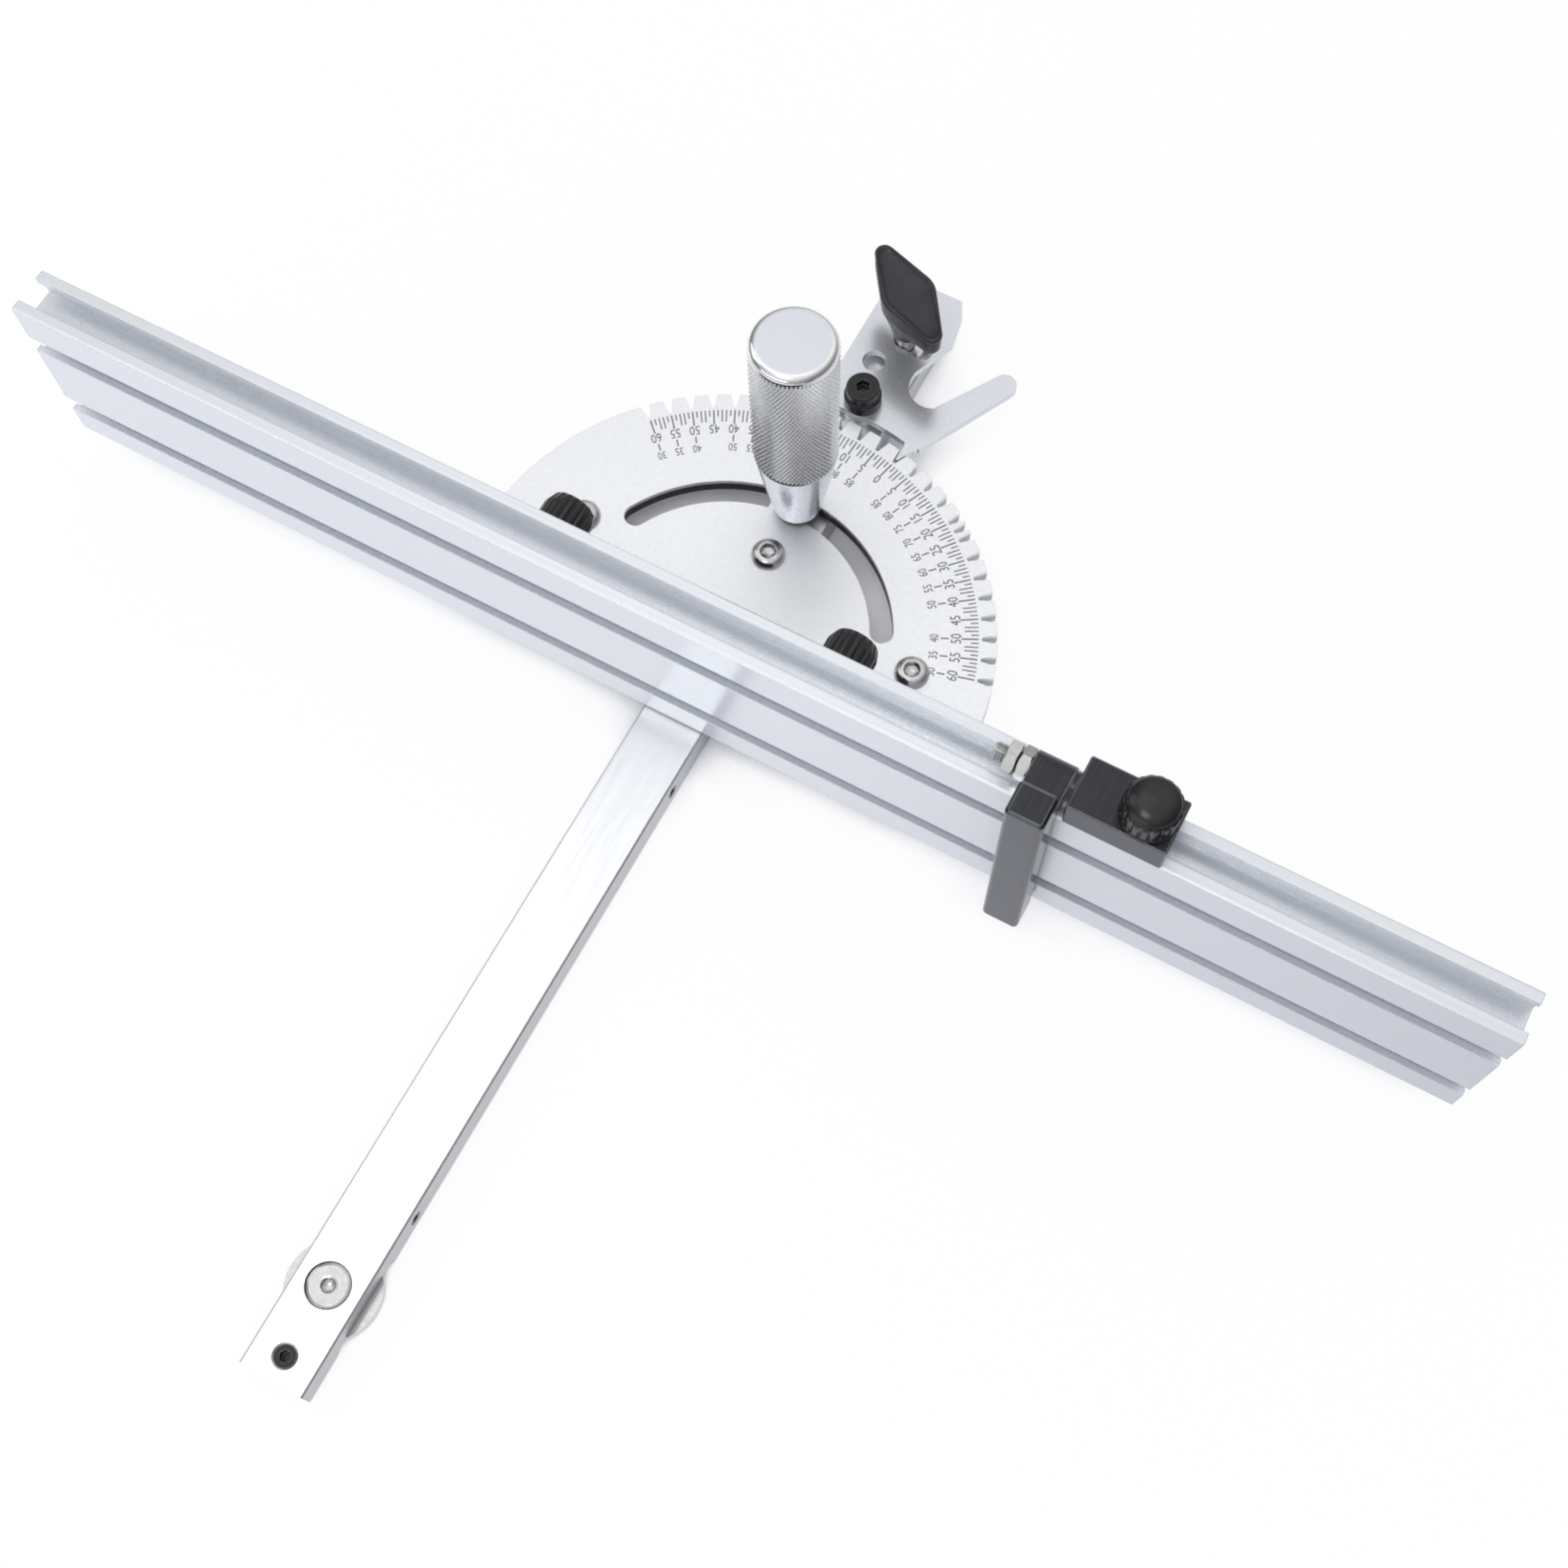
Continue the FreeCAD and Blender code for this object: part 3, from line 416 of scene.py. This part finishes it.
rings, first = handle_surface()
points, faces = ring_body(rings)
faces = knurl_facets(faces, rings.shape[1], first, grip_rows)
handle = add_piece("knurled_handle", points, faces, polished, "clamp",
                   ("clamp_handle",))
handle.data.materials.append(knurled)
handle.data.materials.append(burnished)
middles = np.empty(len(faces) * 3)
handle.data.polygons.foreach_get("center", middles)
level = middles.reshape(-1, 3)[:, 2] / MM
on_grip = (level > grip_start) & (level < grip_end)
on_shoulder = (level > grip_end) & (level < handle_high[2] - 0.01)
finish_slots = on_grip.astype(np.int32) + 2 * on_shoulder.astype(np.int32)
handle.data.polygons.foreach_set("material_index", finish_slots)
handle.data.polygons.foreach_set("use_smooth", ~on_grip)


# Fluted knobs

knob_radius = 7.35
knob_flutes = 18
flute_depth = 0.55
flute_half_width = 0.2              # as a share of the step from flute to flute


def knob_rings(height, side, dome):
    """A base ring, a skirt with narrow flutes, a step and a cap that is domed or flat with a
    chamfer."""
    skirt = [(side + 0.05, 0.0), (side + 0.2, 0.15), (side + 0.2, 1.0), (side, 1.15)]
    walls = [(side, z) for z in np.linspace(1.3, height * 0.66, 5)]
    if dome:
        bend = np.linspace(0, 1, 12)
        cap = [(side - 0.25, height * 0.69), (side - 0.75, height * 0.70),
               (side - 0.8, height * 0.735)]
        cap += [((side - 0.6) * math.sqrt(1 - t * t) if t < 1 else 0.05,
                 height * (0.735 + 0.265 * t)) for t in bend]
    else:
        cap = [(side - 0.15, height * 0.72), (side - 1.2, height * 0.97), (side - 1.6, height),
               (side - 3.0, height), (0.6, height)]
    profile = [(side - 2.0, 0.0)] + skirt + walls + cap
    first, last = 1 + len(skirt), 1 + len(skirt) + len(walls) + (0 if dome else 2)

    def flute(angle, row):
        """What the flutes take off the radius, at an angle and a row of the profile."""
        across = np.abs((knob_flutes * angle / (2 * math.pi)) % 1.0 - 0.5)
        groove = flute_depth * np.clip(1 - across / flute_half_width, 0, 1) ** 0.5
        return np.where((row >= first) & (row < last), groove, 0.0)

    return turned_rings(profile, knob_flutes * 12, flute)


for name, body, dome, axis in (("fence_knob_left", "left_fence_knob", False, (0, 1, 0)),
                               ("fence_knob_right", "right_fence_knob", False, (0, 1, 0)),
                               ("stop_knob", "stop_lock_knob", True, (0, 0, 1))):
    low, high = node_box(name)
    middle = (low + high) / 2
    axis = np.array(axis, float)
    seat = middle * (1 - axis) + low * axis
    rings = knob_rings((high - low) @ axis, knob_radius, dome)
    points, faces = ring_body(along(rings, seat, axis))
    add_piece(name + "_fluted", points, faces, knob_plastic, body, (name,))


# Wing knob

wing_columns = 180
wing_middle_radius = 8.2
wing_tip = (-12.6, 9.3)
wing_tip_radius = 2.9
wing_wall = 7.0
wing_foot = 3.9                     # radius of the foot
wing_lowered = 2.0                  # the top lies this far below the plain model's


def wing_outline(columns):
    """Distance from the axis to a line drawn tight round three discs, a wide one on the axis
    and a small one at each tip: the least, over all directions, of the discs' reach that way
    divided by the cosine."""
    angle = np.linspace(0, 2 * math.pi, columns, endpoint=False)
    way = np.linspace(0, 2 * math.pi, 720, endpoint=False)
    tip = wing_tip[0] * np.cos(way) + wing_tip[1] * np.sin(way)
    discs = np.maximum(wing_middle_radius, np.abs(tip) + wing_tip_radius)
    cosine = np.cos(angle[:, None] - way[None, :])
    reach = np.where(cosine > 0.05, discs[None, :] / np.maximum(cosine, 0.05), np.inf).min(axis=1)
    return angle, reach


def wing_surface():
    """A small round foot that widens upwards, share by share, to the outline; an upright wall
    with a lip round its top; and a face that is dished towards its middle."""
    low, high = node_box("wing_knob")
    base, top = low[2], high[2] - wing_lowered
    stud_low, stud_high = node_box("wing_stud")
    middle = (stud_low + stud_high) / 2
    angle, reach = wing_outline(wing_columns)
    wall_foot = top - wing_wall
    rows = [(0.0, -0.4, base), (0.0, 0.0, base + 0.4)]
    for share in np.linspace(0, 1, 18):
        rows.append((share ** 1.08, -0.7 * share, base + 0.8 + (wall_foot - base - 0.8) * share))
    rows += [(1.0, -0.45, wall_foot + 0.6), (1.0, -0.4, top - 1.9), (1.0, -0.45, top - 1.6),
             (1.0, -0.1, top - 1.35)]
    for turn in np.radians(np.linspace(0, 150, 12)):
        rows.append((1.0, -0.9 + 0.9 * math.cos(turn), top - 0.9 + 0.9 * math.sin(turn)))
    radius = np.array([wing_foot * (1 - mix) + reach * mix + grow for mix, grow, z in rows])
    height = np.array([np.full(wing_columns, z) for mix, grow, z in rows])
    shares = np.array([0.8, 0.6, 0.4, 0.2, 0.02])[:, None]
    radius = np.vstack([radius, (reach - 2.0)[None, :] * shares])
    dish = top - 0.55 - 0.9 * (1 - shares ** 2)
    height = np.vstack([height, np.repeat(dish, wing_columns, axis=1)])
    rings = np.stack([radius * np.cos(angle), radius * np.sin(angle), height], -1)
    return rings + np.array([middle[0], middle[1], 0])


points, faces = ring_body(wing_surface())
add_piece("wing_knob_head", points, faces, wing_plastic, "wing_lock",
          ("wing_knob",))


# Threads

thread_depth = 0.45
thread_chamfer = 0.6
thread_rows = 10                    # in one turn


def thread_rings(radius, pitch, length):
    """A screw thread: the radius follows a zigzag of height less the share of a turn, and fades
    to a chamfer at each end."""
    z = np.linspace(0, length, int(length / pitch * thread_rows))
    columns = 36
    angle = np.linspace(0, 2 * math.pi, columns, endpoint=False)
    phase = z[:, None] / pitch - angle[None, :] / (2 * math.pi)
    end = np.clip(np.minimum(z, length - z) / thread_chamfer, 0, 1)[:, None]
    reach = radius - thread_depth * (1 - zigzag(phase)) * end - thread_depth * (1 - end)
    level = np.repeat(z[:, None], columns, axis=1)
    return np.stack([reach * np.cos(angle), reach * np.sin(angle), level], -1)


for node, body, pitch, axis in (("wing_stud", "wing_lock", 1.0, (0, 0, 1)),
                                ("flip_axle", "stop_block", 0.8, (1, 0, 0))):
    low, high = node_box(node)
    axis = np.array(axis, float)
    middle = (low + high) / 2
    start = middle * (1 - axis) + low * axis
    length = (high - low) @ axis
    radius = np.sort(high - low)[0] / 2
    points, faces = ring_body(along(thread_rings(radius, pitch, length), start, axis))
    add_piece(node + "_thread", points, faces, bright, body, (node,))


# Socket screws in bright steel

def hexagon_reach(angle, flats):
    """Distance from the axis to a hexagon of a given width across its flats."""
    return flats / 2 / np.cos((angle + math.pi / 6) % (math.pi / 3) - math.pi / 6)


def socket_screw(outline, flats, mouth, floor_depth, foot):
    """A head given by rows of (radius, height) from its rim inwards, then a hexagon socket
    with a bevelled mouth and a coned floor; below, a plain shank down to its foot."""
    columns = 72
    angle = np.linspace(0, 2 * math.pi, columns, endpoint=False)
    circle = np.ones(columns)
    hexagon = hexagon_reach(angle, flats)
    top = outline[-1][1]
    shank = outline[0][0] * 0.5
    rows = [(shank * circle, foot), (shank * circle, outline[0][1])]
    rows += [(radius * circle, z) for radius, z in outline]
    rows += [(mouth * circle, top - 0.06), (hexagon, top - (mouth - flats / 2)),
             (hexagon * 0.985, floor_depth), (hexagon * 0.5, floor_depth - 0.35),
             (hexagon * 0.05, floor_depth - 0.5)]
    radius = np.array([r for r, z in rows])
    height = np.repeat(np.array([z for r, z in rows])[:, None], columns, axis=1)
    return np.stack([radius * np.cos(angle), radius * np.sin(angle), height], -1)


def button_outline(radius, seat, top):
    """The low dome of a button head, from its rim to the ring round its socket."""
    ring, rim = 2.5, 0.4            # radius round the socket, height of the upright rim
    rise = np.linspace(0, 1, 9)
    dome = [(radius - (radius - ring) * t ** 1.6,
             seat + rim + (top - seat - rim) * math.sin(t * math.pi / 2)) for t in rise]
    return [(radius - 0.15, seat), (radius, seat + 0.15)] + dome + [(2.42, top)]


socket_depth = 1.7
for name, body, flats, mouth in (("plate_screw_centre", "protractor_head", 3.9, 2.35),
                                 ("plate_screw_left", "protractor_head", 3.9, 2.35),
                                 ("plate_screw_right", "protractor_head", 3.9, 2.35),
                                 ("keeper_screw", "guide_bar", 3.5, 2.05)):
    low, high = node_box(name)
    middle = (low + high) / 2
    radius = (high[0] - low[0]) / 2
    if name == "keeper_screw":
        outline = [(radius, high[2] - 1.5), (radius, high[2] - 0.32),
                   (radius - 0.08, high[2] - 0.24), (radius - 0.65, high[2] - 0.03),
                   (radius - 0.75, high[2]), (2.6, high[2])]
    else:
        outline = button_outline(radius, scale_top, high[2])
    rings = socket_screw(outline, flats, mouth, high[2] - socket_depth, low[2])
    points, faces = ring_body(rings + np.array([middle[0], middle[1], 0]))
    add_piece(name + "_turned", points, faces, bright, body, (name,), False)


# Scale: engraved ticks and numbers

zero_angle = 14.06                  # degrees clockwise from +Y, about the pivot
mark_sink, mark_height = 0.03, 0.045
tick_circle = 72.9                  # radius at the ticks' outer ends
digit_height = 0.70                 # of a number in the built-in font, per unit of size


def ticks(angles, outer, inner, width):
    """Thin slabs along a radius: each angle gives a box from the inner to the outer radius."""
    turn = np.radians(angles)[:, None]
    along_radius = np.array([inner, outer, outer, inner])[None, :]
    aside = np.array([-1, -1, 1, 1])[None, :] * width / 2
    x = along_radius * np.sin(turn) + aside * np.cos(turn)
    y = along_radius * np.cos(turn) - aside * np.sin(turn)
    low = np.stack([x, y, np.full_like(x, scale_top - mark_sink)], -1)
    high = low + np.array([0, 0, mark_height])
    points = np.concatenate([low, high], axis=1).reshape(-1, 3)
    box = np.array([[0, 1, 2, 3], [7, 6, 5, 4], [4, 5, 1, 0],
                    [5, 6, 2, 1], [6, 7, 3, 2], [7, 4, 0, 3]])
    faces = (np.arange(len(angles))[:, None, None] * 8 + box[None]).reshape(-1, 4)
    return points, faces


def scale_marks():
    """One tick per degree, longest at every fifth and longer midway between two fifths, and a
    second row at the numbered angles."""
    degree = np.arange(-60, 61)
    fifth = degree % 5 == 0
    second = (degree % 5 == 2) | (degree % 5 == 3)
    rows = [(degree[fifth], tick_circle, 68.0, 0.42), (degree[second], tick_circle, 68.9, 0.36),
            (degree[~fifth & ~second], tick_circle, 70.75, 0.36)]
    numbered = degree[fifth & (degree != 0) & (np.abs(degree) != 45)]
    rows.append((numbered, 64.4, 62.1, 0.4))
    points, faces, count = [], [], 0
    for angles, outer, inner, width in rows:
        some, few = ticks(angles + zero_angle, outer, inner, width)
        points.append(some)
        faces += (few + count).tolist()
        count += len(some)
    return np.vstack(points), faces


points, faces = scale_marks()
add_piece("scale_ticks", points, faces, marking, "protractor_head", (), False)


def digits(text):
    """The outline of a short number as a flat mesh, centred, one unit high."""
    curve = bpy.data.curves.new("number", "FONT")
    curve.body = text
    curve.align_x = "CENTER"
    curve.align_y = "BOTTOM_BASELINE"
    curve.resolution_u = 3
    label = bpy.data.objects.new("number", curve)
    bpy.context.scene.collection.objects.link(label)
    bpy.context.view_layer.update()
    mesh = bpy.data.meshes.new_from_object(label)
    points = np.empty(len(mesh.vertices) * 3)
    mesh.vertices.foreach_get("co", points)
    faces = [tuple(p.vertices) for p in mesh.polygons]
    bpy.data.objects.remove(label)
    bpy.data.meshes.remove(mesh)
    bpy.data.curves.remove(curve)
    return points.reshape(-1, 3) / digit_height, faces


def scale_numbers():
    """Numbers set round the scale with their tops towards the pivot."""
    points, faces, count = [], [], 0
    for degree in range(-60, 61, 5):
        rows = [(str(abs(degree)), 67.9, 2.95, 0.78)]
        if degree != 0 and abs(degree) != 45:
            rows.append((str(90 - abs(degree)), 61.5, 2.5, 0.74))
        for text, foot, height, narrow in rows:
            flat, few = digits(text)
            turn = math.radians(degree + zero_angle)
            out = np.array([math.sin(turn), math.cos(turn), 0])
            right = np.array([-math.cos(turn), math.sin(turn), 0])
            place = (foot - flat[:, 1:2] * height) * out + flat[:, 0:1] * height * narrow * right
            place[:, 2] = scale_top + 0.015
            points.append(place)
            faces += [tuple(k + count for k in face) for face in few]
            count += len(flat)
    return np.vstack(points), faces


points, faces = scale_numbers()
numbers = add_piece("scale_numbers", points, faces, marking, "protractor_head",
                    (), False)
number_thickness = 0.04
wall = numbers.modifiers.new("thickness", "SOLIDIFY")
wall.thickness = number_thickness * MM
wall.offset = 0.0


# Floor, light and camera

def studio_floor():
    """A pale floor that the camera and the metal see as white, with a faint shadow of the
    object; where something covers it closely its own shade shows, and its mirror image grows
    darker to the right."""
    side = 3.0
    mesh = bpy.data.meshes.new("floor")
    level = -2e-4
    square = [(-side, -side, level), (side, -side, level),
              (side, side, level), (-side, side, level)]
    mesh.from_pydata(square, [], [(0, 1, 2, 3)])
    material = bpy.data.materials.new("pale_floor")
    material.use_nodes = True
    tree = material.node_tree
    tree.nodes.remove(tree.nodes["Principled BSDF"])
    matte = tree.nodes.new("ShaderNodeBsdfDiffuse")
    matte.inputs["Color"].default_value = (0.80, 0.82, 0.94, 1)
    glow = tree.nodes.new("ShaderNodeEmission")
    glow.inputs["Color"].default_value = (1, 1, 1, 1)
    path = tree.nodes.new("ShaderNodeLightPath")
    coords = tree.nodes.new("ShaderNodeTexCoord")
    split = tree.nodes.new("ShaderNodeSeparateXYZ")
    tree.links.new(coords.outputs["Object"], split.inputs[0])
    cover = tree.nodes.new("ShaderNodeAmbientOcclusion")
    cover.samples = 8
    cover.inputs["Distance"].default_value = 0.03
    open_floor = spread(tree, cover.outputs["AO"], 0.1, 0.9, 0.28, 0.50)
    camera_share = combine(tree, "MULTIPLY", path.outputs["Is Camera Ray"], open_floor)
    glossy_share = combine(tree, "MULTIPLY", path.outputs["Is Glossy Ray"], open_floor)
    right_end = spread(tree, split.outputs["X"], 1.0, 0.50, 0.02, 0.30)
    camera_level = combine(tree, "MULTIPLY", path.outputs["Is Camera Ray"], 1.03)
    glossy_level = combine(tree, "MULTIPLY", path.outputs["Is Glossy Ray"], right_end)
    tree.links.new(combine(tree, "MAXIMUM", camera_level, glossy_level), glow.inputs["Strength"])
    mix = tree.nodes.new("ShaderNodeMixShader")
    tree.links.new(combine(tree, "MAXIMUM", camera_share, glossy_share), mix.inputs["Fac"])
    tree.links.new(matte.outputs[0], mix.inputs[1])
    tree.links.new(glow.outputs[0], mix.inputs[2])
    tree.links.new(mix.outputs[0], tree.nodes["Material Output"].inputs["Surface"])
    mesh.materials.append(material)
    floor = bpy.data.objects.new("floor", mesh)
    bpy.context.scene.collection.objects.link(floor)


def soft_box(name, place, target, size, power):
    """A rectangular soft light aimed at a point."""
    lamp = bpy.data.lights.new(name, "AREA")
    lamp.shape = "RECTANGLE"
    lamp.size, lamp.size_y = size
    lamp.energy = power
    light = bpy.data.objects.new(name, lamp)
    light.location = place
    aim = Vector(target) - Vector(place)
    light.rotation_euler = aim.to_track_quat("-Z", "Y").to_euler()
    bpy.context.scene.collection.objects.link(light)


def studio_world():
    """A soft grey-white room, brighter overhead and behind the object, and darker at both sides."""
    world = bpy.data.worlds.new("studio")
    bpy.context.scene.world = world
    world.use_nodes = True
    tree = world.node_tree
    back = tree.nodes["Background"]
    coords = tree.nodes.new("ShaderNodeTexCoord")
    split = tree.nodes.new("ShaderNodeSeparateXYZ")
    tree.links.new(coords.outputs["Generated"], split.inputs[0])
    overhead = spread(tree, split.outputs["Z"], 0.42, 0.92, 0.0, 0.8)
    behind = spread(tree, split.outputs["Y"], 0.9, 1.05, -0.8, 0.5)
    aside = combine(tree, "ABSOLUTE", split.outputs["X"], 0.0)
    overhead = combine(tree, "MULTIPLY", overhead, spread(tree, aside, 1.0, 0.4, 0.3, 0.85))
    path = tree.nodes.new("ShaderNodeLightPath")
    strength = tree.nodes.new("ShaderNodeMix")
    tree.links.new(path.outputs["Is Camera Ray"], strength.inputs["Factor"])
    tree.links.new(combine(tree, "MULTIPLY", overhead, behind), strength.inputs["A"])
    strength.inputs["B"].default_value = 1.0
    tree.links.new(strength.outputs["Result"], back.inputs["Strength"])
    back.inputs["Color"].default_value = (1, 1, 1, 1)


def photo_camera():
    """The photograph's view: place, axes and focal length from a fit of measured points."""
    right = Vector((0.87879304, 0.47686091, -0.01806839))
    down = Vector((0.43697494, -0.81934962, -0.37110525))
    ahead = Vector((-0.19176991, 0.31822927, -0.92841501))
    focal_pixels, photo_pixels = 2087.148, 1569.0
    lens = bpy.data.cameras.new("camera")
    lens.sensor_fit = "HORIZONTAL"
    lens.sensor_width = 36.0
    lens.lens = 36.0 * focal_pixels / photo_pixels
    lens.clip_start = 0.01
    lens.clip_end = 20.0
    camera = bpy.data.objects.new("camera", lens)
    turn = Matrix((right, -down, -ahead)).transposed()
    camera.matrix_world = Matrix.Translation((0.14809779, -0.21553242, 0.54777481)) @ turn.to_4x4()
    bpy.context.scene.collection.objects.link(camera)
    bpy.context.scene.camera = camera


studio_floor()
studio_world()
soft_box("overhead_box", (-0.42, 0.15, 1.5), (0, 0, 0), (1.0, 1.0), 1.2)
soft_box("front_box", (-0.4, -1.5, 0.62), (0, 0, 0.05), (1.8, 0.3), 3.0)
soft_box("front_top_box", (-0.05, -0.6, 1.45), (0, 0, 0.05), (0.45, 0.45), 2.3)
soft_box("left_box", (-1.3, -0.1, 1.0), (0, 0, 0.03), (0.8, 1.0), 2.0)
photo_camera()
bpy.context.scene.view_settings.view_transform = "Standard"
